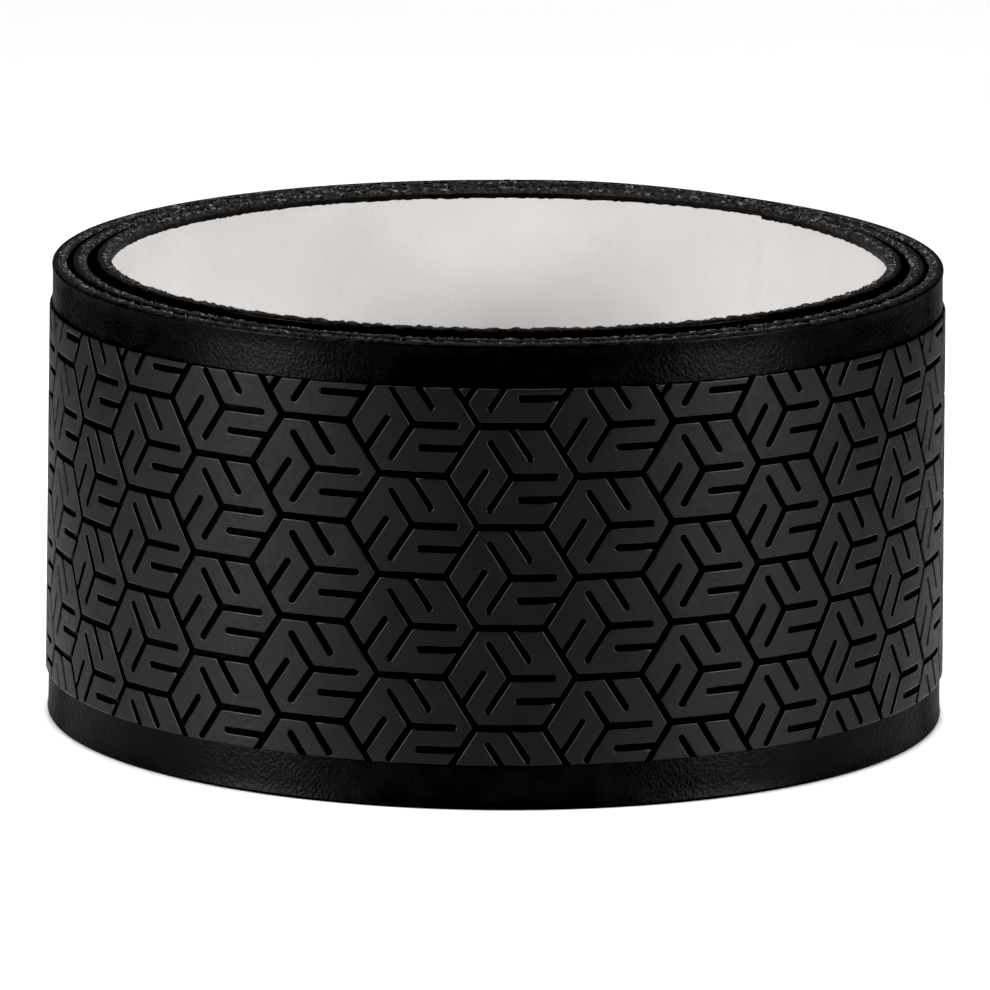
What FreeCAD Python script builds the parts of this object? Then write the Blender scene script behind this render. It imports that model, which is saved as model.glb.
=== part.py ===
import FreeCAD, Part
import math
import os

import Sketcher

# A roll of embossed grip tape for racket handles, standing on its edge.
#
# The tape is one flat strip wound clockwise, seen from above, for just under three turns, from
# its inner end at the back right to its outer end at the back.  It is a sandwich: a paper
# release liner inside, then a film of adhesive, a felt backing and a polymer skin whose raised
# tread faces outwards.
#
# Frame: millimetres, +Z up along the roll's axis, the roll stands on z = 0 with the origin under
# the middle of its footprint, and -Y is the front.
#
# Angles are those of the strip's outward normal, counted from +X.  They fall along the strip,
# from its inner end to its outer end.

DIMENSIONS = {
    "tape_width": 31.0,
    # the sandwich, from the inside of the roll outwards
    "liner_thickness": 0.10,
    "film_thickness": 0.05,
    "felt_thickness": 0.43,
    "skin_thickness": 0.37,
    "tread_rise": 0.20,
    # how far each layer's edges lie in from the edges of the tape
    "tread_border": 2.75,
    "liner_inset": 0.70,
    "film_inset": 0.45,
    # the inner end of the strip: where its first bend is centred and its first normal
    "start_centre_x": 2.636,
    "start_centre_y": 0.610,
    "start_angle": 50.0,
    # the outer end, which peels off the roll in short links
    "tail_links": 5,
    "tail_link_sweep": 18.0,
    # the free end of the liner
    "flap_sweep": 20.0,
    # slit between neighbours that hinge on each other
    "hinge_slit": 0.15,
}

# The wound strip's inner face as a chain of tangent arcs: radius in mm and sweep in degrees.
# Each turn runs down the right side, round the front and up the left side; at the back it
# flattens and tightens again, which lifts it over the turn before.
BENDS = [
    (23.91, 80), (27.01, 100), (25.18, 75), (27.27, 40), (28.87, 33), (24.75, 32),
    (28.56, 50), (28.10, 90), (27.92, 90), (29.25, 65), (29.01, 33), (26.85, 32),
    (29.64, 50), (29.49, 90), (29.12, 88), (30.56, 10),
]

LAYERS = ["liner_thickness", "film_thickness", "felt_thickness", "skin_thickness", "tread_rise"]

doc = FreeCAD.newDocument("grip_tape_roll")
sheet = doc.addObject("Spreadsheet::Sheet", "Dimensions")


def fill_sheet():
    rows = dict(DIMENSIONS)
    for number, (radius, sweep) in enumerate(BENDS, start=1):
        rows[f"bend_radius_{number}"] = radius
        rows[f"bend_sweep_{number}"] = sweep
    for row, (alias, number) in enumerate(rows.items(), start=1):
        sheet.set(f"A{row}", alias)
        sheet.set(f"B{row}", str(number))
        sheet.setAlias(f"B{row}", alias)
    doc.recompute()


def value(alias):
    return float(getattr(sheet, alias))


def total(aliases):
    return sum(value(alias) for alias in aliases)


def polar(centre, radius, degrees):
    angle = math.radians(degrees)
    return centre + FreeCAD.Vector(math.cos(angle), math.sin(angle), 0) * radius


def slit_angle(radius):
    """Half a hinge slit, in degrees of a bend."""
    return math.degrees(value("hinge_slit") / 2 / radius)


class Bend:
    """One arc of the strip: its centre, the sheet's name for its radius, and its two normals."""

    def __init__(self, centre, radius_alias, first, last):
        self.centre = centre
        self.radius_alias = radius_alias
        self.radius = value(radius_alias)
        self.first = first
        self.last = last

    def part(self, first, last):
        return Bend(self.centre, self.radius_alias, first, last)


def wind():
    """The bends of the strip up to the tail, each tangent to the one before."""
    bends = []
    centre = FreeCAD.Vector(value("start_centre_x"), value("start_centre_y"), 0)
    angle = value("start_angle")
    for number in range(1, len(BENDS) + 1):
        alias = f"bend_radius_{number}"
        if bends:
            centre = polar(centre, bends[-1].radius - value(alias), angle)
        bends.append(Bend(centre, alias, angle, angle - value(f"bend_sweep_{number}")))
        angle = bends[-1].last
    return bends


def origin_plane(body, role):
    return next(plane for plane in body.Origin.OriginFeatures if plane.Role == role)


def outline(body, name, bends, inside, outside, inset):
    """A closed sketch of the strip's section between two faces of the sandwich.

    inside and outside list the layers that lie within each face, and inset names the cell
    that lifts the sketch off the floor.
    """
    sketch = body.newObject("Sketcher::SketchObject", name)
    sketch.AttachmentSupport = [(origin_plane(body, "XY_Plane"), "")]
    sketch.MapMode = "FlatFace"
    if inset:
        sketch.setExpression("AttachmentOffset.Base.z", f"Dimensions.{inset}")

    up = FreeCAD.Vector(0, 0, 1)
    count = len(bends)
    for layers in (inside, outside):
        for bend in bends:
            circle = Part.Circle(bend.centre, up, bend.radius + total(layers))
            arc = Part.ArcOfCircle(circle, math.radians(bend.last), math.radians(bend.first))
            sketch.addGeometry(arc, False)
    for bend, angle in ((bends[0], bends[0].first), (bends[-1], bends[-1].last)):
        ends = [polar(bend.centre, bend.radius + total(layers), angle)
                for layers in (inside, outside)]
        sketch.addGeometry(Part.LineSegment(*ends), False)

    # an arc's point 1 is its last normal and point 2 its first
    joins = []
    for start in (0, count):
        joins += [(start + i, 1, start + i + 1, 2) for i in range(count - 1)]
    first_end, last_end = 2 * count, 2 * count + 1
    joins += [(0, 2, first_end, 1), (count, 2, first_end, 2)]
    joins += [(count - 1, 1, last_end, 1), (2 * count - 1, 1, last_end, 2)]
    for join in joins:
        sketch.addConstraint(Sketcher.Constraint("Coincident", *join))

    for start, layers in ((0, inside), (count, outside)):
        for i, bend in enumerate(bends):
            radius = Sketcher.Constraint("Radius", start + i, bend.radius + total(layers))
            number = sketch.addConstraint(radius)
            terms = [f"Dimensions.{alias}" for alias in [bend.radius_alias] + layers]
            sketch.setExpression(f"Constraints[{number}]", " + ".join(terms))
    return sketch


def pad(body, sketch, inset):
    feature = body.newObject("PartDesign::Pad", f"{sketch.Name}_pad")
    feature.Profile = sketch
    margin = f" - 2 * Dimensions.{inset}" if inset else ""
    feature.setExpression("Length", "Dimensions.tape_width" + margin)
    sketch.Visibility = False
    return feature


def named_body(label):
    body = doc.addObject("PartDesign::Body", label)
    body.Label = label
    body.Placement = FreeCAD.Placement()
    return body


def liner(label, bends):
    """White release paper, narrower than the tape."""
    body = named_body(label)
    sketch = outline(body, f"{label}_outline", bends, [], LAYERS[:1], "liner_inset")
    pad(body, sketch, "liner_inset")
    return body


def film(label, bends):
    """Pressure-sensitive adhesive, a little wider than the liner."""
    body = named_body(label)
    sketch = outline(body, f"{label}_outline", bends, LAYERS[:1], LAYERS[:2], "film_inset")
    pad(body, sketch, "film_inset")
    return body


def felt(label, bends):
    """Felt backing, as wide as the tape."""
    body = named_body(label)
    sketch = outline(body, f"{label}_outline", bends, LAYERS[:2], LAYERS[:3], None)
    pad(body, sketch, None)
    return body


def skin(label, bends):
    """Polymer skin as wide as the tape, with the raised tread between two plain borders."""
    body = named_body(label)
    base = outline(body, f"{label}_base", bends, LAYERS[:3], LAYERS[:4], None)
    pad(body, base, None)
    tread = outline(body, f"{label}_tread", bends, LAYERS[:3], LAYERS, "tread_border")
    pad(body, tread, "tread_border")
    return body


def coil(bends):
    """The part of the tape that stays wound: all of it but the tail."""
    last = bends[-1]
    slit = slit_angle(last.radius + total(LAYERS))
    tape = bends[:-1] + [last.part(last.first, last.last + slit)]
    first = tape[0]
    slit = slit_angle(first.radius)
    backed = [first.part(first.first - value("flap_sweep") - slit, first.last)] + tape[1:]
    return [
        skin("grip_skin", tape),
        felt("felt_backing", tape),
        film("adhesive_film", tape),
        liner("release_liner", backed),
    ]


def liner_flap(bends):
    """The end of the liner that a finger lifts first, inside the roll."""
    first = bends[0]
    fold = first.first - value("flap_sweep") + slit_angle(first.radius)
    return liner("liner_flap", [first.part(first.first, fold)])


def tail(bends):
    """The outer end of the tape, cut into equal links that hinge at the outer face."""
    last = bends[-1]
    sweep = value("tail_link_sweep")
    slit = slit_angle(last.radius + total(LAYERS))
    count = int(value("tail_links"))
    bodies = []
    for link in range(1, count + 1):
        start = last.last - (link - 1) * sweep
        end_slit = slit if link < count else 0
        piece = [last.part(start - slit, start - sweep + end_slit)]
        bodies += [
            skin(f"tail_skin_{link}", piece),
            felt(f"tail_felt_{link}", piece),
            film(f"tail_film_{link}", piece),
            liner(f"tail_liner_{link}", piece),
        ]
    return bodies


def report_hinges(bends):
    """Where the hinges stand: at the outer face for the tail, the inner face for the liner."""
    first, last = bends[0], bends[-1]
    point = polar(first.centre, first.radius, first.first - value("flap_sweep"))
    print(f"liner hinge  x {point.x:.3f}  y {point.y:.3f}")
    for link in range(int(value("tail_links"))):
        angle = last.last - link * value("tail_link_sweep")
        point = polar(last.centre, last.radius + total(LAYERS), angle)
        print(f"tail hinge {link + 1}  x {point.x:.3f}  y {point.y:.3f}")


def check_and_export(bodies):
    doc.recompute()
    for item in doc.Objects:
        failed = {"Invalid", "Error"} & set(item.State)
        if failed:
            raise RuntimeError(f"{item.Label} did not compute: {sorted(failed)}")
    for body in bodies:
        if body.Shape.isNull() or not body.Shape.isValid() or len(body.Shape.Solids) != 1:
            raise RuntimeError(f"{body.Label} is not one valid solid")
    os.makedirs("parts", exist_ok=True)
    box = FreeCAD.BoundBox()
    for body in bodies:
        body.Shape.exportStep(f"parts/{body.Label}.step")
        box.add(body.Shape.optimalBoundingBox())
        print(f"{body.Label:16} {body.Shape.Volume:9.1f} mm3")
    print(f"x {box.XMin:.3f} {box.XMax:.3f}  y {box.YMin:.3f} {box.YMax:.3f}"
          f"  z {box.ZMin:.3f} {box.ZMax:.3f}")


fill_sheet()
strip = wind()
pieces = coil(strip) + [liner_flap(strip)] + tail(strip)
report_hinges(strip)
check_and_export(pieces)
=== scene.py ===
import math

import bmesh
import bpy
import numpy as np
from mathutils import Matrix, Vector
from mathutils.geometry import delaunay_2d_cdt


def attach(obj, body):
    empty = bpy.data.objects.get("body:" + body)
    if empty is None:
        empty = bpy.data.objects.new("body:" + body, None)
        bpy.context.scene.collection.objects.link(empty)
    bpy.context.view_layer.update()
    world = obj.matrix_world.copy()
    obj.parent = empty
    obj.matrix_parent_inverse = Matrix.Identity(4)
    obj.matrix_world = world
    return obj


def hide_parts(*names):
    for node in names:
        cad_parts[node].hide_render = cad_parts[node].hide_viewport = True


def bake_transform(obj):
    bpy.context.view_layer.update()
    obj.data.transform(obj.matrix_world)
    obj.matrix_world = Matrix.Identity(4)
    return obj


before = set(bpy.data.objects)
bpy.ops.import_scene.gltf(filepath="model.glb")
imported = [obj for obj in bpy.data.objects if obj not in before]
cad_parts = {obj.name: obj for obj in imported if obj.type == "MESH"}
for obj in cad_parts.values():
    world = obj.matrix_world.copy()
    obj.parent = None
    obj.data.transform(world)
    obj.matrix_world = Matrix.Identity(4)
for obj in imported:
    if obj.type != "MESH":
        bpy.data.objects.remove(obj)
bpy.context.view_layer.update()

# A roll of embossed grip tape, standing on its edge.  Meshes are worked out in millimetres, in
# strip coordinates: s is the length along the tape from its inner end, measured on the skin's
# plain face, z is the height above the floor and t is the height above the liner's inner face.

MM = 0.001

# ---------------------------------------------------------------- the tape, in millimetres

WIDTH = 31.0
LINER_TOP = 0.10
FILM_TOP = 0.15
FELT_TOP = 0.58
SKIN_TOP = 0.95
LINER_INSET = 0.70
FILM_INSET = 0.45
TREAD_LOW = 2.85
TREAD_HIGH = 28.30
FLARE = 0.30                    # how much larger the roll's radius is at the floor than on top

# The wound strip as tangent arcs: radius of the inner face and sweep in degrees.
START_CENTRE = (2.636, 0.610)
START_ANGLE = 50.0
BENDS = [
    (23.91, 80), (27.01, 100), (25.18, 75), (27.27, 40), (28.87, 33), (24.75, 32),
    (28.56, 50), (28.10, 90), (27.92, 90), (29.25, 65), (29.01, 33), (26.85, 32),
    (29.64, 50), (29.49, 90), (29.12, 88), (30.56, 100),
]
TAIL_LINKS = 5
LINK_SWEEP = 18.0
FLAP_SWEEP = 20.0
END_ANGLE = START_ANGLE - sum(sweep for radius, sweep in BENDS)
TAIL_ANGLE = END_ANGLE + TAIL_LINKS * LINK_SWEEP
FRONT_ANGLE = -810              # where the outer turn faces the front

# where the tape rides up, at its start and where it passes over its outer end:
# height, middle angle and reach in degrees each side
RISES = [(0.235, START_ANGLE, 40), (0.26, END_ANGLE + 360, 35)]
# where the skin is stretched, on the front left of the outer turn: length, middle and reach
CREEP = (1.05, FRONT_ANGLE - 50, 39)


def polar(centre, radius, angle):
    return centre + radius * np.array([math.cos(angle), math.sin(angle)])


def wind():
    """Centre, radius, first normal and first length of every bend of the strip."""
    rows = []
    centre, angle, s = np.array(START_CENTRE), math.radians(START_ANGLE), 0.0
    for i, (radius, sweep) in enumerate(BENDS):
        if i:
            centre = polar(centre, BENDS[i - 1][0] - radius, angle)
        rows.append((*centre, radius, angle, s))
        s += math.radians(sweep) * (radius + SKIN_TOP)
        angle -= math.radians(sweep)
    return np.array(rows), s


PATH, LENGTH = wind()


def length_at(degrees):
    """s where the strip's outward normal has turned to this angle."""
    i = int(np.searchsorted(-PATH[:, 3], -math.radians(degrees), side="right")) - 1
    return PATH[i, 4] + (PATH[i, 3] - math.radians(degrees)) * (PATH[i, 2] + SKIN_TOP)


def swell(degrees, middle, reach):
    """1 at the middle angle, easing to 0 at reach degrees each side of it."""
    near = np.clip(1 - np.abs((degrees - middle) / reach), 0, 1)
    return near * near * (3 - 2 * near)


def lift(degrees):
    """How far the tape rides up at this angle."""
    return sum(height * swell(degrees, middle, reach) for height, middle, reach in RISES)


def bend_at(s):
    """The bends that hold these lengths of tape, and the outward normals there."""
    row = PATH[np.clip(np.searchsorted(PATH[:, 4], s, side="right") - 1, 0, len(PATH) - 1)]
    return row, row[:, 3] - (s - row[:, 4]) / (row[:, 2] + SKIN_TOP)


def crept(s):
    """Where the skin's tread really lies, stretched along the tape."""
    length, middle, reach = CREEP
    return s + length * swell(np.degrees(bend_at(s)[1]), middle, reach)


def place(points):
    """Strip coordinates (s, z, t) to places in the row's frame, in metres."""
    s, z, t = np.asarray(points, float).T
    row, angle = bend_at(s)
    radius = row[:, 2] + t + FLARE * (0.5 - z / WIDTH)
    x = row[:, 0] + radius * np.cos(angle)
    y = row[:, 1] + radius * np.sin(angle)
    return np.stack([x, y, z + lift(np.degrees(angle))], axis=1) * MM


# ---------------------------------------------------------------- small helpers

def make_object(name, points, faces, materials, indices=None):
    mesh = bpy.data.meshes.new(name)
    mesh.from_pydata([tuple(p) for p in points], [], faces)
    piece = bpy.data.objects.new(name, mesh)
    bpy.context.scene.collection.objects.link(piece)
    for material in materials:
        mesh.materials.append(material)
    if indices is not None:
        mesh.polygons.foreach_set("material_index", indices)
    mesh.polygons.foreach_set("use_smooth", [True] * len(mesh.polygons))
    mesh.validate()
    mesh.update()
    return piece


def mark_sharp(piece, degrees):
    piece.data.set_sharp_from_angle(angle=math.radians(degrees))


def even_steps(low, high, step):
    count = max(1, round((high - low) / step))
    return np.linspace(low, high, count + 1)


# ---------------------------------------------------------------- node material helpers

class Nodes:
    """Builds one material's node tree."""

    def __init__(self, name):
        self.material = bpy.data.materials.new(name)
        self.material.use_nodes = True
        self.tree = self.material.node_tree
        self.shader = self.tree.nodes["Principled BSDF"]
        self.where = self.add("ShaderNodeTexCoord").outputs["Object"]

    def add(self, kind, **settings):
        node = self.tree.nodes.new(kind)
        for key, setting in settings.items():
            setattr(node, key, setting)
        return node

    def link(self, source, target):
        self.tree.links.new(source, target)

    def noise(self, per_mm, detail=3.0, roughness=0.55):
        node = self.add("ShaderNodeTexNoise")
        self.link(self.where, node.inputs["Vector"])
        node.inputs["Scale"].default_value = per_mm / MM
        node.inputs["Detail"].default_value = detail
        node.inputs["Roughness"].default_value = roughness
        return node.outputs["Fac"]

    def cells(self, per_mm):
        """0 in the middle of each rounded cell, rising to its edge."""
        node = self.add("ShaderNodeTexVoronoi", feature="SMOOTH_F1")
        self.link(self.where, node.inputs["Vector"])
        node.inputs["Scale"].default_value = per_mm / MM
        return node.outputs["Distance"]

    def facing(self):
        """0 where the surface faces the eye, 1 where it is seen at a glance."""
        return self.add("ShaderNodeLayerWeight").outputs["Facing"]

    def ramp(self, source, stops):
        """A colour ramp through stops of (position, colour or grey level)."""
        node = self.add("ShaderNodeValToRGB")
        elements = node.color_ramp.elements
        while len(elements) < len(stops):
            elements.new(0.5)
        for element, (position, color) in zip(elements, stops):
            element.position = position
            if isinstance(color, (int, float)):
                color = (color, color, color)
            element.color = (*color, 1.0)
        self.link(source, node.inputs["Fac"])
        return node.outputs["Color"]

    def mix(self, factor, color, tint):
        """The linked colour, turning to a plain tint as factor goes from 0 to 1."""
        node = self.add("ShaderNodeMix", data_type="RGBA")
        first, second, mixed = node.inputs[6], node.inputs[7], node.outputs[2]
        self.link(factor, node.inputs["Factor"])
        self.link(color, first)
        second.default_value = (*tint, 1.0)
        return mixed

    def bump(self, height, distance_mm, under=None):
        node = self.add("ShaderNodeBump")
        node.inputs["Strength"].default_value = 1.0
        node.inputs["Distance"].default_value = distance_mm * MM
        self.link(height, node.inputs["Height"])
        if under is not None:
            self.link(under, node.inputs["Normal"])
        return node.outputs["Normal"]

    def finish(self, color, roughness=None, normal=None, **constants):
        """Links the shader's sockets, and sets the others named with their constants."""
        self.link(color, self.shader.inputs["Base Color"])
        if roughness is not None:
            self.link(roughness, self.shader.inputs["Roughness"])
        if normal is not None:
            self.link(normal, self.shader.inputs["Normal"])
        for name, constant in constants.items():
            self.shader.inputs[name.replace("_", " ")].default_value = constant
        return self.material


def grey(level):
    return (level, level, level)


def tread_material():
    """Matte top of the raised pads: fine dry grain, slightly uneven."""
    n = Nodes("skin_tread")
    color = n.ramp(n.noise(0.35, 4.0), [(0.3, grey(0.0025)), (0.7, grey(0.0040))])
    roughness = n.ramp(n.noise(2.5, 3.0), [(0.3, grey(0.50)), (0.7, grey(0.62))])
    fine = n.bump(n.noise(11.0, 3.0), 0.012)
    coarse = n.bump(n.noise(2.2, 2.0), 0.02, under=fine)
    return n.finish(color, roughness, coarse, Specular_IOR_Level=0.145)


def pad_edge_material():
    """The pads' bevelled edges, rubbed a little smoother than their tops."""
    n = Nodes("skin_pad_edge")
    color = n.ramp(n.noise(0.35, 4.0), [(0.3, grey(0.0025)), (0.7, grey(0.0040))])
    roughness = n.ramp(n.noise(2.0, 3.0), [(0.3, grey(0.34)), (0.7, grey(0.46))])
    return n.finish(color, roughness, n.bump(n.noise(8.0, 3.0), 0.008), Specular_IOR_Level=0.17)


def groove_painted_shade_material():
    """Floors of the grooves: the same skin as the pads, painted blacker as the shade that falls
    in the deep grooves, and duller.
    """
    n = Nodes("skin_groove_painted_shade")
    color = n.ramp(n.noise(0.8, 3.0), [(0.3, grey(0.0008)), (0.7, grey(0.0016))])
    roughness = n.ramp(n.noise(2.0, 3.0), [(0.3, grey(0.60)), (0.7, grey(0.75))])
    return n.finish(color, roughness, n.bump(n.noise(6.0, 3.0), 0.01), Specular_IOR_Level=0.05)


def border_material():
    """Plain borders: glossy, with a fine leather-like grain that dulls them at a glance."""
    n = Nodes("skin_border")
    color = n.ramp(n.noise(0.5, 3.0), [(0.3, grey(0.0032)), (0.7, grey(0.0046))])
    roughness = n.ramp(n.noise(1.5, 3.0), [(0.3, grey(0.30)), (0.7, grey(0.40))])
    pebbles = n.ramp(n.cells(4.6), [(0.0, 1.0), (0.65, 0.0)])
    grain = n.bump(pebbles, 0.018)
    fine = n.bump(n.noise(9.0, 3.0), 0.012, under=grain)
    gloss = n.ramp(n.facing(), [(0.15, grey(0.047)), (0.40, grey(0.028)), (0.75, grey(0.002))])
    n.link(gloss, n.shader.inputs["Specular IOR Level"])
    return n.finish(color, roughness, fine)


def cut_material():
    """The skin's cut edges: matte and greyer than its face. It also laps onto the border's edge,
    where its lighter grey is partly a painted highlight.
    """
    n = Nodes("skin_cut")
    color = n.ramp(n.noise(2.6, 4.0, 0.7), [(0.38, grey(0.002)), (0.66, grey(0.013))])
    roughness = n.ramp(n.noise(3.0), [(0.3, grey(0.60)), (0.7, grey(0.80))])
    return n.finish(color, roughness, n.bump(n.noise(4.0, 4.0), 0.04), Specular_IOR_Level=0.03)


def felt_material():
    """The faces of the dark non-woven felt."""
    n = Nodes("felt")
    color = n.ramp(n.noise(2.6, 5.0, 0.8), [(0.36, grey(0.007)), (0.64, grey(0.042))])
    roughness = n.ramp(n.noise(4.0), [(0.3, grey(0.85)), (0.7, grey(1.0))])
    fuzz = n.bump(n.noise(4.0, 4.0, 0.65), 0.07)
    return n.finish(color, roughness, fuzz, Specular_IOR_Level=0.05)


def frayed_material():
    """The felt's cut edges, where pale fibres show in clumps."""
    n = Nodes("felt_frayed")
    base = n.ramp(n.noise(3.0, 4.0, 0.7), [(0.35, grey(0.007)), (0.70, grey(0.028))])
    clumps = n.ramp(n.noise(2.8, 3.0, 0.6), [(0.56, 0.0), (0.66, 1.0)])
    color = n.mix(clumps, base, (0.15, 0.15, 0.155))
    roughness = n.ramp(n.noise(4.0), [(0.3, grey(0.85)), (0.7, grey(1.0))])
    fuzz = n.bump(n.noise(5.0, 4.0, 0.7), 0.12)
    return n.finish(color, roughness, fuzz, Specular_IOR_Level=0.05)


def fibre_material():
    """Loose fibres on the cut felt: most dark, some pale."""
    n = Nodes("felt_fibre")
    color = n.ramp(n.noise(2.0, 2.0), [(0.50, grey(0.012)), (0.60, grey(0.24))])
    roughness = n.ramp(n.noise(4.0), [(0.3, grey(0.7)), (0.7, grey(0.9))])
    return n.finish(color, roughness, Specular_IOR_Level=0.3)


def film_material():
    """Clear pressure-sensitive adhesive, dark because the felt shows through it. The same dark
    material is also used as painted shade on the liner's cut edges and under the felt's fringe.
    """
    n = Nodes("adhesive")
    dark, light = (0.005, 0.0046, 0.004), (0.010, 0.009, 0.008)
    color = n.ramp(n.noise(0.8, 4.0), [(0.3, dark), (0.7, light)])
    roughness = n.ramp(n.noise(1.2, 3.0), [(0.3, grey(0.45)), (0.7, grey(0.60))])
    tacky = n.bump(n.noise(1.6, 4.0), 0.03)
    return n.finish(color, roughness, tacky, Specular_IOR_Level=0.1)


def liner_material():
    """White release paper: silicone-smooth, with faint fibres in the paper."""
    n = Nodes("liner")
    dark, light = (0.58, 0.556, 0.541), (0.64, 0.616, 0.600)
    cloudy = n.ramp(n.noise(0.12, 5.0), [(0.3, dark), (0.7, light)])
    fibres = n.ramp(n.noise(3.5, 4.0, 0.7), [(0.55, 0.0), (0.8, 1.0)])
    color = n.mix(fibres, cloudy, (0.54, 0.516, 0.502))
    roughness = n.ramp(n.noise(1.0, 3.0), [(0.3, grey(0.42)), (0.7, grey(0.56))])
    return n.finish(color, roughness, n.bump(n.noise(4.0, 4.0), 0.008))


TREAD = tread_material()
BORDER = border_material()
GROOVE_PAINTED_SHADE = groove_painted_shade_material()
PAD_EDGE = pad_edge_material()
CUT = cut_material()
FELT = felt_material()
FRAYED = frayed_material()
FIBRE = fibre_material()
FILM_AND_PAINTED_SHADE = film_material()
LINER = liner_material()

# ---------------------------------------------------------------- the tread's hexagons

CELL_PITCH_S = 6.48             # from one column of hexagons to the next
PERIOD = 2 * CELL_PITCH_S       # every other column stands at the same height
CELL_PITCH_Z = 6.70
EDGE_HALF = 2.20                # half of a hexagon's level edge
CORNER = CELL_PITCH_S - EDGE_HALF
CELL_Z = 15.60                  # height of the middle hexagon of an even column
CELL_ANGLE = FRONT_ANGLE + 2.3  # where an even column stands on the outer turn
STRETCH = CORNER / (CELL_PITCH_Z / 2) * math.cos(math.radians(30))
ARM = 2.55                      # the Y's arms, to the centres of their round tips
SLOT_OFFSET = 1.52              # the three slots pass this far from the middle
SLOT_TIP = 0.50
# a pad's bevelled edge as contours: (distance from the groove's middle line, height)
PAD_CONTOURS = [(0.165, 0.0), (0.19, 0.12), (0.22, 0.17), (0.30, 0.20)]
TIP_STEPS = 5
COLUMN_LINES = 6                # cuts across each column that let it bend round the roll
SKIN_MATERIALS = [TREAD, BORDER, GROOVE_PAINTED_SHADE, CUT, PAD_EDGE]
ON_PAD, ON_BORDER, IN_GROOVE_PAINTED_SHADE, ON_CUT, ON_PAD_EDGE = range(5)


def spun(point, turn):
    """A point of the even pinwheel, turned by thirds and stretched along the tape."""
    angle = math.radians(120 * turn)
    x, y = point
    return np.array([(x * math.cos(angle) - y * math.sin(angle)) * STRETCH,
                     x * math.sin(angle) + y * math.cos(angle)])


def cross(point, direction, other, other_direction):
    """Where two lines meet."""
    along = np.linalg.solve(np.array([direction, -other_direction]).T, other - point)[0]
    return point + along * direction


def left_of(direction):
    return np.array([-direction[1], direction[0]])


def unit(vector):
    return vector / np.hypot(*vector)


def round_tip(centre, direction, radius):
    """A half circle round a groove's end, from its left side to its right."""
    start = math.atan2(direction[1], direction[0]) + math.pi / 2
    angles = [start - math.pi * i / TIP_STEPS for i in range(TIP_STEPS + 1)]
    return [polar(centre, radius, angle) for angle in angles]


def hexagon_corners(inset):
    """The hexagon's corners, anticlockwise from the right, moved in by inset."""
    half = CELL_PITCH_Z / 2
    corners = [np.array(c) for c in ((CORNER, 0), (EDGE_HALF, half), (-EDGE_HALF, half),
                                     (-CORNER, 0), (-EDGE_HALF, -half), (EDGE_HALF, -half))]
    moved = []
    for i, corner in enumerate(corners):
        before = unit(corner - corners[i - 1])
        after = unit(corners[(i + 1) % 6] - corner)
        moved.append(cross(corner + left_of(before) * inset, before,
                           corner + left_of(after) * inset, after))
    return moved


def pad_outline(inset):
    """A hexagonal pad's outer edge, with a slot cut into three of its sides."""
    corners = hexagon_corners(inset)
    points = []
    for side in range(6):
        start, end = corners[side], corners[(side + 1) % 6]
        points.append(start)
        if side % 2 == 0:
            continue
        turn = (side - 1) // 2 + 1
        tip = spun((SLOT_TIP, -SLOT_OFFSET), turn)
        mouth = spun((SLOT_TIP + 1, -SLOT_OFFSET), turn)
        inward = unit(tip - mouth)
        sideways = left_of(inward) * inset
        along = unit(end - start)
        points.append(cross(tip + sideways, inward, start, along))
        points += round_tip(tip, inward, inset)
        points.append(cross(tip - sideways, inward, start, along))
    return points


def star_outline(inset):
    """The edge of the Y-shaped groove in the middle of a pad."""
    tips = [spun((ARM, 0), turn) for turn in range(3)]
    points = []
    for i, tip in enumerate(tips):
        arm, following = unit(tip), unit(tips[(i + 1) % 3])
        points += reversed(round_tip(tip, arm, inset))
        points.append(cross(tip + left_of(arm) * inset, arm,
                            tips[(i + 1) % 3] - left_of(following) * inset, following))
    return points


# distances from the cut edge of the lines that shape the plain borders
BORDER_LINES = (0.0, 0.02, 0.06, 0.13, 0.25, 0.6, 1.1, 1.9)
LIP_RISE = 0.07
LIP_WIDTH = 0.45
CORNER_ROUND = 0.25
CUT_AND_HIGHLIGHT_DEPTH = 0.10                # how far the cut edge's dull, greyer finish laps onto the border, partly as a painted highlight along its edge


def border_bulge(z):
    """The plain borders: a small flared lip at the cut edge and a well rounded corner."""
    edge = np.minimum(z, WIDTH - z)
    lip = LIP_RISE * np.exp(-(edge / LIP_WIDTH) ** 2)
    short = np.clip(CORNER_ROUND - edge, 0, CORNER_ROUND)
    corner = CORNER_ROUND - np.sqrt(CORNER_ROUND ** 2 - short ** 2)
    return lip - corner


def groove_lines():
    """The middle lines of one hexagon's grooves: its outline, three slots and the Y."""
    corners = hexagon_corners(0.0)
    lines = [(corners[i], corners[(i + 1) % 6]) for i in range(6)]
    for turn in range(3):
        tip, mouth = spun((SLOT_TIP, -SLOT_OFFSET), turn), spun((CORNER, -SLOT_OFFSET), turn)
        lines.append((tip, mouth))
        lines.append((np.zeros(2), spun((ARM, 0), turn)))
    return lines


def cell_centres():
    """The middles of the hexagons that reach into one period of the tread."""
    for column in range(-1, 4):
        for row in range(-3, 4):
            yield np.array([column * CELL_PITCH_S,
                            CELL_Z + (row + (column % 2) / 2) * CELL_PITCH_Z])


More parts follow.
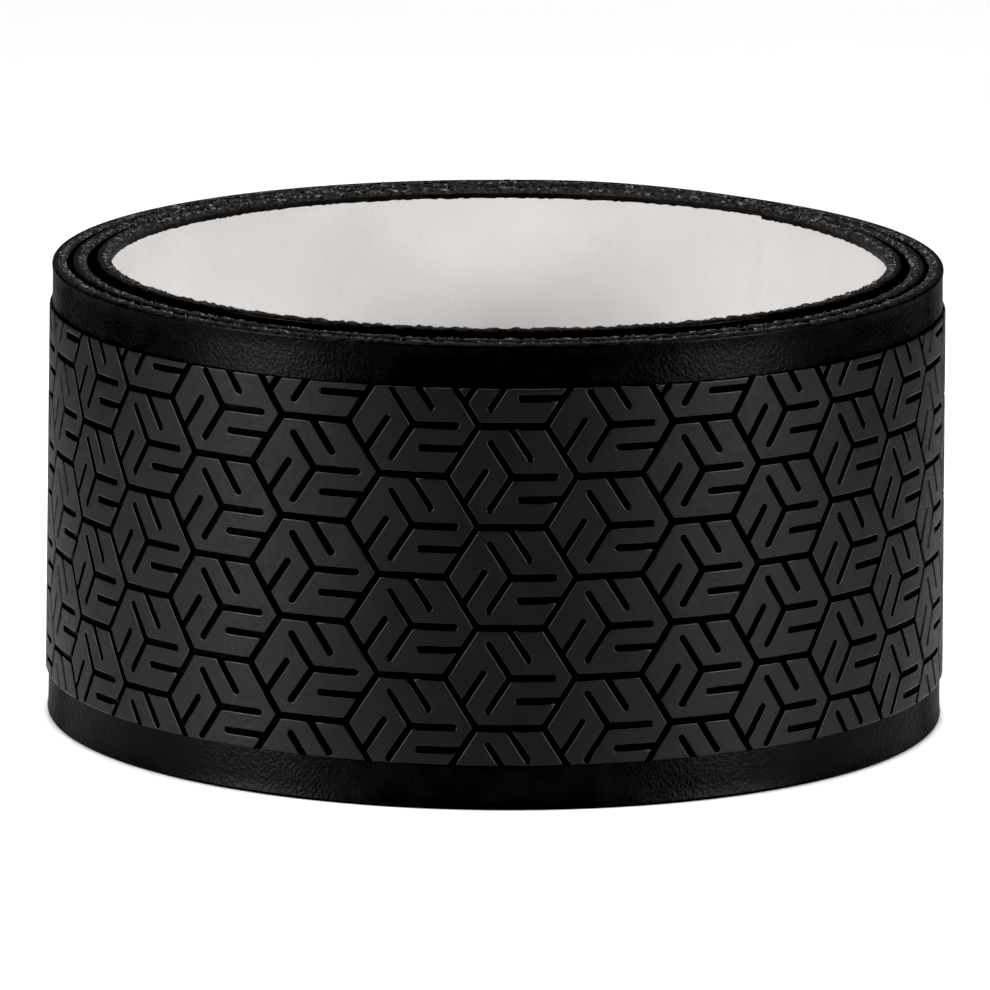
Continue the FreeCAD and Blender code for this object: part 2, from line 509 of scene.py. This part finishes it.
def distance_to_grooves(points):
    """How far points on the flat tread lie from the nearest groove's middle, or its border."""
    nearest = np.minimum(points[:, 1] - TREAD_LOW, TREAD_HIGH - points[:, 1])
    for centre in cell_centres():
        local = points - centre
        near = np.nonzero((abs(local[:, 0]) < CORNER + 0.5)
                          & (abs(local[:, 1]) < CELL_PITCH_Z / 2 + 0.5))[0]
        inside = np.ones(len(near), bool)
        for a, b in groove_lines()[:6]:
            normal = left_of(unit(b - a))
            inside &= (local[near] - a) @ normal > -1e-4
        near = near[inside]
        for a, b in groove_lines():
            along = np.clip((local[near] - a) @ (b - a) / ((b - a) @ (b - a)), 0, 1)
            gap = np.hypot(*(local[near] - a - along[:, None] * (b - a)).T)
            nearest[near] = np.minimum(nearest[near], gap)
    return nearest


def clip_level(loop, level, keep):
    """The part of a closed outline above (keep 1) or below (keep -1) a level line."""
    kept = []
    for i in range(len(loop)):
        a, b = loop[i - 1], loop[i]
        a_in, b_in = keep * (a[1] - level) >= 0, keep * (b[1] - level) >= 0
        if a_in != b_in:
            share = (level - a[1]) / (b[1] - a[1])
            kept.append(np.array([a[0] + share * (b[0] - a[0]), level]))
        if b_in:
            kept.append(b)
    return kept


def tile_lines():
    """The lines that one period's faces keep to: points (u, z), and whether the line closes."""
    for inset, height in PAD_CONTOURS:
        for outline in (pad_outline(inset), star_outline(inset)):
            for centre in cell_centres():
                loop = [point + centre for point in outline]
                loop = clip_level(loop, TREAD_LOW + inset, 1)
                loop = clip_level(loop, TREAD_HIGH - inset, -1)
                if len(loop) > 2:
                    yield loop, True
    for u in np.linspace(0, PERIOD, 2 * COLUMN_LINES + 1):
        yield [np.array([u, 0.0]), np.array([u, WIDTH])], False
    for edge in BORDER_LINES:
        for z in (edge, WIDTH - edge):
            yield [np.array([0.0, z]), np.array([PERIOD, z])], False


def flat_tread():
    """One period of the skin's face, two columns of hexagons: points (u, z, height) and faces.

    u runs along the tape against s, so that the face is seen the right way round.
    """
    verts, edges = [], []
    for line, closed in tile_lines():
        first, count = len(verts), len(line)
        verts.extend(line)
        edges.extend((first + i, first + i + 1) for i in range(count - 1))
        if closed:
            edges.append((first + count - 1, first))
    found = delaunay_2d_cdt([Vector(v) for v in verts], edges, [], 0, 1e-5)
    points = np.array([tuple(v) for v in found[0]])
    faces = np.array(found[2])
    middles = points[faces].mean(axis=1)
    kept = ((middles[:, 0] > 0) & (middles[:, 0] < PERIOD)
            & (middles[:, 1] > 0) & (middles[:, 1] < WIDTH))
    faces, middles = faces[kept], middles[kept]
    used, faces = np.unique(faces, return_inverse=True)
    faces = faces.reshape(-1, 3)
    points = points[used]
    insets, heights = zip(*PAD_CONTOURS)
    height = np.interp(distance_to_grooves(points), insets, heights)
    return np.column_stack([points, height]), faces, finishes(middles)


def finishes(middles):
    """Which finish the skin's face has at these points."""
    inset = distance_to_grooves(middles)
    groove_edge, bevel_edge = PAD_CONTOURS[0][0] + 0.01, PAD_CONTOURS[-1][0]
    # faces down in the grooves get the finish with painted shade
    finish = np.where(inset > groove_edge, ON_PAD_EDGE, IN_GROOVE_PAINTED_SHADE)
    finish[inset > bevel_edge] = ON_PAD
    finish[(middles[:, 1] < TREAD_LOW) | (middles[:, 1] > TREAD_HIGH)] = ON_BORDER
    # the band next to the cut edge gets the lighter cut finish, partly a painted highlight
    finish[np.minimum(middles[:, 1], WIDTH - middles[:, 1]) < CUT_AND_HIGHLIGHT_DEPTH] = ON_CUT
    return finish


TILE = flat_tread()
GRID = CELL_PITCH_S / COLUMN_LINES
S_ORIGIN = length_at(CELL_ANGLE)


def snapped(s):
    """The nearest place along the tape where the tread's mesh has a straight cut."""
    return S_ORIGIN + round((s - S_ORIGIN) / GRID) * GRID


TAPE_START = snapped(GRID / 2)
TAPE_END = snapped(LENGTH - GRID / 2)


def tread_between(u_low, u_high):
    """The skin's face between two straight cuts: its points, triangles and finishes."""
    tile, tile_faces, tile_finish = TILE
    points, faces, finish = [], [], []
    for copy in range(math.floor(u_low / PERIOD), math.ceil(u_high / PERIOD)):
        middle = tile[tile_faces][:, :, 0].mean(axis=1) + copy * PERIOD
        kept = (middle > u_low) & (middle < u_high)
        faces.append(tile_faces[kept] + len(points) * len(tile))
        finish.append(tile_finish[kept])
        points.append(tile + (copy * PERIOD, 0, 0))
    points, faces, finish = map(np.concatenate, (points, faces, finish))
    used, faces = np.unique(faces, return_inverse=True)
    points = points[used]
    # copies share the points of the cut between them
    keys = np.round(points * 1000).astype(np.int64)
    first, merged = np.unique(keys[:, :2], axis=0, return_index=True, return_inverse=True)[1:]
    return points[first], merged.reshape(-1)[faces].reshape(-1, 3), finish


def open_edges(faces):
    """The edges that only one triangle uses, in that triangle's direction."""
    pairs = np.concatenate([faces[:, [0, 1]], faces[:, [1, 2]], faces[:, [2, 0]]])
    forward = {tuple(pair) for pair in pairs.tolist()}
    return [(a, b) for a, b in forward if (b, a) not in forward]


def back_strips(back, first_number):
    """The plain back as one face from each straight cut to the next."""
    columns = {}
    for i, (u, z, depth) in enumerate(back):
        columns.setdefault(round(u / GRID), []).append((z, first_number + i))
    ordered = [sorted(columns[key]) for key in sorted(columns)]
    strips = []
    for k, (left, right) in enumerate(zip(ordered, ordered[1:])):
        left = left if k == 0 else [left[0], left[-1]]
        right = right if k == len(ordered) - 2 else [right[0], right[-1]]
        strips.append([i for z, i in left] + [i for z, i in reversed(right)])
    return strips


def smooth_face(piece, s, z, height, triangles):
    """Shades pad tops and borders as one smooth round surface, whatever their triangles are.

    The face's triangles come first in the mesh; s, z and height are given for every point.
    """
    step, margin = 0.001, 0.01
    slope = (border_bulge(z + step) - border_bulge(z - step)) / (2 * step)
    angle = bend_at(s)[1]
    normals = np.stack([np.cos(angle), np.sin(angle), FLARE / WIDTH - slope], axis=1)
    normals /= np.linalg.norm(normals, axis=1)[:, None]
    off_edge = np.minimum(z, WIDTH - z) > margin
    on_border = (z < TREAD_LOW - margin) | (z > TREAD_HIGH + margin)
    on_top = height > PAD_CONTOURS[-1][1] - 0.001
    corners = np.empty(len(piece.data.loops), int)
    piece.data.loops.foreach_get("vertex_index", corners)
    shaded = (off_edge & (on_border | on_top))[corners]
    shaded &= np.arange(len(corners)) < 3 * triangles
    # a zero leaves a corner's own normal
    custom = np.where(shaded[:, None], normals[corners], 0.0)
    piece.data.normals_split_custom_set(custom.tolist())


def skin_piece(name, s_low, s_high):
    """A closed length of skin: the embossed face, its sides and its plain back."""
    points, faces, finish = tread_between(S_ORIGIN - s_high, S_ORIGIN - s_low)
    rim = open_edges(faces)
    rim_points = sorted({a for a, b in rim})
    below = {a: len(points) + i for i, a in enumerate(rim_points)}
    back = points[rim_points]
    back[:, 2] = FELT_TOP - SKIN_TOP
    sides = [(b, a, below[a], below[b]) for a, b in rim]
    backs = back_strips(back, len(points))

    u, z, height = np.concatenate([points, back]).T
    on_face = np.arange(len(u)) < len(points)
    t = SKIN_TOP + height + np.where(on_face, border_bulge(z), 0.0)
    s = crept(S_ORIGIN - u)
    placed = place(np.column_stack([s, z, t]))
    indices = finish.tolist() + [ON_CUT] * (len(sides) + len(backs))
    piece = make_object(name, placed, faces.tolist() + sides + backs, SKIN_MATERIALS, indices)
    mark_sharp(piece, 40)
    smooth_face(piece, s, z, height, len(faces))
    return piece


# ---------------------------------------------------------------- the layers under the skin

def ribbon(name, s_low, s_high, section, step, materials, ripple=None):
    """A closed length of tape whose section is a loop of (z, t) points."""
    stations = even_steps(s_low, s_high, step)
    section = np.array(section)
    grid = np.empty((len(stations), len(section), 3))
    grid[:, :, 0] = stations[:, None]
    grid[:, :, 1:] = section
    if ripple is not None:
        grid = ripple(grid)
    count = len(section)
    faces = []
    for i in range(len(stations) - 1):
        for j in range(count):
            k = (j + 1) % count
            faces.append((i * count + j, i * count + k, (i + 1) * count + k, (i + 1) * count + j))
    last = (len(stations) - 1) * count
    faces.append(tuple(reversed(range(count))))
    faces.append(tuple(range(last, last + count)))
    piece = make_object(name, place(grid.reshape(-1, 3)), faces, materials)
    mark_sharp(piece, 35)
    return piece


def film_piece(name, s_low, s_high):
    low, high = FILM_INSET, WIDTH - FILM_INSET
    section = [(low, LINER_TOP), (low, FILM_TOP), (high, FILM_TOP), (high, LINER_TOP)]
    piece = ribbon(name, s_low, s_high, section, GRID, [FILM_AND_PAINTED_SHADE])
    return piece


def liner_piece(name, s_low, s_high):
    """The paper, with the faces of its long cut edges given the adhesive's dark material as
    painted shade.
    """
    low, high = LINER_INSET, WIDTH - LINER_INSET
    section = [(low, 0.0), (low, LINER_TOP), (high, LINER_TOP), (high, 0.0)]
    piece = ribbon(name, s_low, s_high, section, GRID, [LINER, FILM_AND_PAINTED_SHADE])
    for face in piece.data.polygons:
        # the faces of the paper's long cut edges are painted dark as shade
        painted_shade_edge = abs(face.normal.z) > 0.7
        face.material_index = int(painted_shade_edge)
    return piece


FELT_MATERIALS = [FELT, FRAYED, FIBRE, FILM_AND_PAINTED_SHADE]
ON_FELT, ON_FRAY, ON_FIBRE, FRINGE_PAINTED_SHADE = range(4)
FELT_STEP = GRID / 4
FRAY_ROWS = 5                   # rows of points over the thickness of a cut edge
FRINGE = LINER_INSET            # how deep the fluff laps over the edge of the film
# a rough point moves out or in by its roughness times two random shares:
WITH_SIDE = (-1.0, 0.7)         # one that its whole cut edge has
ALONE = (-0.5, 0.3)             # one of its own
FIBRES_PER_MM = 9.0
FIBRE_LENGTH = (0.05, 0.20)
FIBRE_RADIUS = (0.012, 0.026)
FIBRE_ROOT = 0.08               # how deep in the felt the fibres start
FIBRES_ON_TOP = 0.7             # the share of them on the upper edge
# along a fibre: (share of its length, share of its radius)
FIBRE_RINGS = ((0.0, 1.0), (0.5, 0.9), (1.0, 0.35))


def felt_section():
    """Half of the felt's section, round its cut edge from the liner side to the skin side.

    Each row is (distance from the cut edge, height t, how rough that point is).
    """
    rows = [(3.0, FILM_TOP, 0.0), (FRINGE, FILM_TOP, 0.0), (FRINGE, -0.01, 0.06),
            (FRINGE - 0.09, -0.02, 0.06), (0.5 * FRINGE, -0.025, 0.03), (0.12, -0.01, 0.03)]
    rows += [(0.0, t, 0.09) for t in np.linspace(0.07, FELT_TOP, FRAY_ROWS)]
    rows += [(0.35, FELT_TOP, 0.0), (3.0, FELT_TOP, 0.0)]
    return np.array(rows)


def felt_faces(half):
    """Which material lies between each point of the half section and the next.

    The cut edge is frayed, and the fringe's lower lip, where it meets the liner, is painted dark
    as shade.
    """
    after = np.roll(half, -1, axis=0)
    inset, t = np.maximum(half[:, 0], after[:, 0]), np.minimum(half[:, 1], after[:, 1])
    faces = np.where((inset < 0.2) & (t > -0.02), ON_FRAY, ON_FELT)
    # the fringe's lower lip takes the dark material as painted shade
    faces[(inset <= FRINGE) & (inset > 0.6 * FRINGE) & (t < 0)] = FRINGE_PAINTED_SHADE
    return faces[:-1]


def felt_piece(name, s_low, s_high, seed):
    """Felt with rough cut edges and loose fibres standing out of them."""
    random = np.random.default_rng(seed)
    half = felt_section()
    bottom = half[::-1]
    section = [(WIDTH - inset, t) for inset, t, rough in half]
    section += [(inset, t) for inset, t, rough in bottom]
    roughness = np.concatenate([half[:, 2], bottom[:, 2]])
    up = np.repeat([1.0, -1.0], len(half))

    def ripple(grid):
        shared = random.uniform(*WITH_SIDE, (len(grid), 2))
        shared[[0, -1]] = 0.0
        own = random.uniform(*ALONE, grid.shape[:2])
        own[[0, -1]] = 0.0
        grid[:, :, 1] += (np.repeat(shared, len(half), axis=1) + own) * roughness * up
        return grid

    piece = ribbon(name, s_low, s_high, section, FELT_STEP, FELT_MATERIALS, ripple)
    faces = felt_faces(half)
    around = np.concatenate([faces, [ON_FELT], faces[::-1], [ON_FELT]])
    lengths = (len(piece.data.polygons) - 2) // len(section)
    indices = np.append(np.tile(around, lengths), [ON_FELT, ON_FELT])
    piece.data.polygons.foreach_set("material_index", indices)
    add_fibres(piece, s_low, s_high, random)
    return piece


def add_fibres(piece, s_low, s_high, random):
    """Short three-sided hairs, rooted in the felt's cut edges."""
    count = int((s_high - s_low) * FIBRES_PER_MM)
    s = random.uniform(s_low + 0.1, s_high - 0.1, count)
    t = random.uniform(0.05, FELT_TOP, count)
    side = np.where(random.random(count) < FIBRES_ON_TOP, 1.0, -1.0)
    length = random.uniform(*FIBRE_LENGTH, count)
    lean = random.normal(0.0, 0.7, (count, 2))
    radius = random.uniform(*FIBRE_RADIUS, count)
    root = np.where(side > 0, WIDTH - FIBRE_ROOT, FIBRE_ROOT)
    rings = []
    for share, width in FIBRE_RINGS:
        middle = np.column_stack([
            s + lean[:, 0] * length * share ** 1.5,
            root + side * length * share,
            t + lean[:, 1] * length * share ** 1.5 * 0.6,
        ])
        for corner in range(3):
            angle = 2 * math.pi * corner / 3
            offset = np.column_stack([math.cos(angle) * radius * width, np.zeros(count),
                                      math.sin(angle) * radius * width])
            rings.append(middle + offset)
    points = np.stack(rings, axis=1).reshape(-1, 3)
    points[:, 1] = np.clip(points[:, 1], -0.02, WIDTH + 0.4)
    faces = []
    for i in range(count):
        base = 9 * i
        for ring in (0, 3):
            for corner in range(3):
                following = (corner + 1) % 3
                faces.append((base + ring + corner, base + ring + following,
                              base + ring + 3 + following, base + ring + 3 + corner))
        faces.append((base + 2, base + 1, base))
        faces.append((base + 6, base + 7, base + 8))
    hairs = make_object(piece.name + "_hairs", place(points), faces, FELT_MATERIALS,
                        [ON_FIBRE] * len(faces))
    join(piece, hairs)


def join(piece, extra):
    """Adds extra's mesh to piece's, and removes extra."""
    mesh = bmesh.new()
    mesh.from_mesh(piece.data)
    mesh.from_mesh(extra.data)
    mesh.to_mesh(piece.data)
    mesh.free()
    spare = extra.data
    bpy.data.objects.remove(extra)
    bpy.data.meshes.remove(spare)


# ---------------------------------------------------------------- the roll's pieces

TURN_SPLIT = snapped(length_at(FRONT_ANGLE + 270))      # the inner turns end on the left
# the tail's pieces meet in the middle of its links
TAIL_CUTS = [snapped(length_at(TAIL_ANGLE + LINK_SWEEP / 2 - k * LINK_SWEEP))
             for k in range(TAIL_LINKS)] + [TAPE_END]
FLAP_ANGLE = START_ANGLE - FLAP_SWEEP
FLAP_CUT = length_at(FLAP_ANGLE - 5)        # its paper ends a little past its fold


def wound_pieces():
    """What stays on the roll."""
    root = TAIL_CUTS[0]
    rows = [
        (skin_piece("skin_inner_turns", TAPE_START, TURN_SPLIT), "grip_skin"),
        (skin_piece("skin_outer_turn", TURN_SPLIT, root), "grip_skin"),
        (felt_piece("felt_wound", TAPE_START, root, 11), "felt_backing"),
        (film_piece("film_wound", TAPE_START, root), "adhesive_film"),
        (liner_piece("liner_wound", FLAP_CUT, root), "release_liner"),
    ]
    for piece, node in rows:
        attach(piece, "coil")
        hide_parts(node)


def tail_pieces():
    """The end that peels, in lengths that run from mid link to mid link."""
    for link in range(1, TAIL_LINKS + 1):
        s_low, s_high = TAIL_CUTS[link - 1:link + 1]
        rows = [
            (skin_piece(f"skin_tail_{link}", s_low, s_high), f"tail_skin_{link}"),
            (felt_piece(f"felt_tail_{link}", s_low, s_high, 20 + link), f"tail_felt_{link}"),
            (film_piece(f"film_tail_{link}", s_low, s_high), f"tail_film_{link}"),
            (liner_piece(f"liner_tail_{link}", s_low, s_high), f"tail_liner_{link}"),
        ]
        for piece, node in rows:
            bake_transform(piece)
            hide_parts(node)


def flap_piece():
    """The free end of the liner, up to a little past where it leaves the tape."""
    piece = liner_piece("liner_flap_paper", TAPE_START, FLAP_CUT)
    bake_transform(piece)
    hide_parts("liner_flap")


wound_pieces()
tail_pieces()
flap_piece()

# ---------------------------------------------------------------- stage, light and camera

VIEW_CENTRE = Vector((-0.061, 0.666, 14.49)) * MM
VIEW_DISTANCE = 713.7 * MM
VIEW_ELEVATION = math.radians(11.82)
VIEW_ROLL = math.radians(0.54)
LENS = 380.9
BLACK_POINT = 0.011             # a photographer's crushed blacks
FLOOR_SIZE = 6.0                # in metres, like the lens's clipping distances
SKY_STRENGTH = 0.12


def stage():
    """A white floor, a dim even sky and the view's tone curve."""
    bpy.ops.mesh.primitive_plane_add(size=FLOOR_SIZE, location=(0, 0, 0))
    floor = bpy.context.object
    floor.name = "floor"
    n = Nodes("floor")
    color = n.ramp(n.noise(0.01, 2.0), [(0.3, grey(0.87)), (0.7, grey(0.89))])
    floor.data.materials.append(n.finish(color, Roughness=0.9))

    world = bpy.data.worlds.new("studio")
    world.use_nodes = True
    background = world.node_tree.nodes["Background"]
    background.inputs["Color"].default_value = (1, 1, 1, 1)
    background.inputs["Strength"].default_value = SKY_STRENGTH
    bpy.context.scene.world = world
    view = bpy.context.scene.view_settings
    view.view_transform = "Standard"
    view.use_curve_mapping = True
    view.curve_mapping.black_level = grey(BLACK_POINT)
    view.curve_mapping.update()


def softbox(name, place_mm, aim_mm, size_mm, watts, spread):
    """A soft light with a grid that keeps its beam within spread degrees."""
    data = bpy.data.lights.new(name, "AREA")
    data.shape = "RECTANGLE"
    data.size, data.size_y = (side * MM for side in size_mm)
    data.energy = watts
    data.spread = math.radians(spread)
    light = bpy.data.objects.new(name, data)
    bpy.context.scene.collection.objects.link(light)
    light.location = Vector(place_mm) * MM
    aim = (Vector(aim_mm) * MM - light.location).to_track_quat("-Z", "Y")
    light.rotation_euler = aim.to_euler()
    light.visible_camera = False


def side_place(azimuth, distance_mm, height_mm):
    """Azimuth 0 is in front of the roll, 90 on its right."""
    angle = math.radians(azimuth - 90)
    return (math.cos(angle) * distance_mm, math.sin(angle) * distance_mm, height_mm)


def lights():
    """A pair of softboxes with a low strip each, one behind, and one that whitens the floor."""
    softbox("left", side_place(-62, 420, 165), (0, 0, 15), (120, 130), 0.27, 70)
    softbox("right", side_place(62, 420, 165), (0, 0, 15), (120, 130), 0.25, 70)
    softbox("left_low", side_place(-60, 420, 20), (0, 0, 15), (100, 34), 0.10, 60)
    softbox("right_low", side_place(60, 420, 20), (0, 0, 15), (100, 34), 0.08, 60)
    softbox("behind", (0, 300, 330), (0, 0, 15), (160, 100), 0.055, 60)
    softbox("overhead", (0, 145, 400), (0, 145, 0), (180, 640), 0.34, 10)


def camera():
    data = bpy.data.cameras.new("camera")
    data.lens = LENS
    data.sensor_width = 36.0
    data.clip_start, data.clip_end = 0.01, 20.0
    view = bpy.data.objects.new("camera", data)
    bpy.context.scene.collection.objects.link(view)
    back = Vector((0, -math.cos(VIEW_ELEVATION), math.sin(VIEW_ELEVATION)))
    view.location = VIEW_CENTRE + back * VIEW_DISTANCE
    aim = (-back).to_track_quat("-Z", "Y").to_matrix()
    view.rotation_euler = (aim @ Matrix.Rotation(VIEW_ROLL, 3, "Z")).to_euler()
    bpy.context.scene.camera = view


stage()
lights()
camera()
